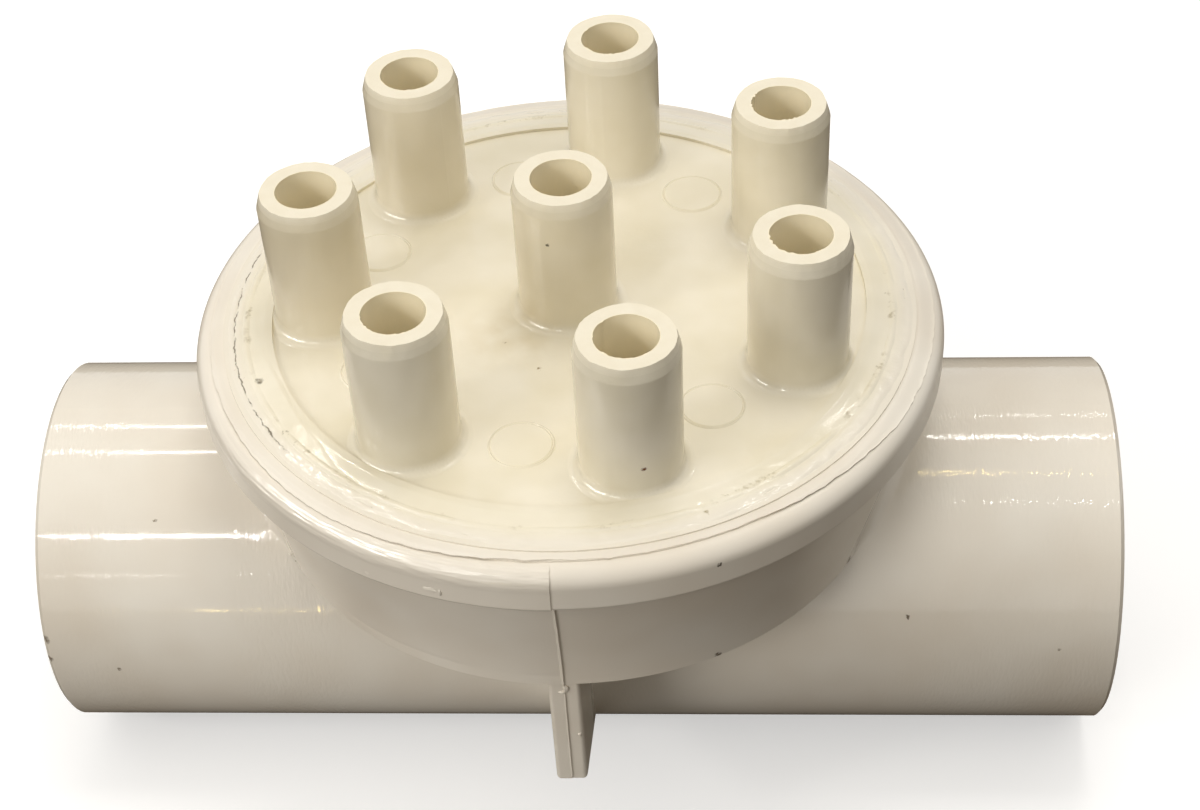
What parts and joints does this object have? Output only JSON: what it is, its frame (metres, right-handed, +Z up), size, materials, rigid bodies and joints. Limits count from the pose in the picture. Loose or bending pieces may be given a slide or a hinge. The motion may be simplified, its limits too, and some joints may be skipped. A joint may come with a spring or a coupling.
{
  "type": "pipe manifold",
  "caption": "Moulded plastic pipe manifold: a straight slip-socket run carries a round beaded cup, and the lid cemented into it has a ring of hose spigots that share out the flow.",
  "frame": {"origin": "where the axis of the straight run crosses the axis of the cup, midway between the socket mouths", "axes": "+X along the run towards the right-hand socket, +Z up along the spigots, +Y to the back"},
  "size_m": [0.2164, 0.1456, 0.133],
  "materials": {
    "white_plastic": "moulded, glossy",
    "cream_plastic": "moulded, satin",
    "cured_cement": "uneven, glossy"
  },
  "bodies": {
    "root": {"manifold_body": "white_plastic", "port_lid": "cream_plastic", "cement_bead": "cured_cement"}
  },
  "joints": []
}
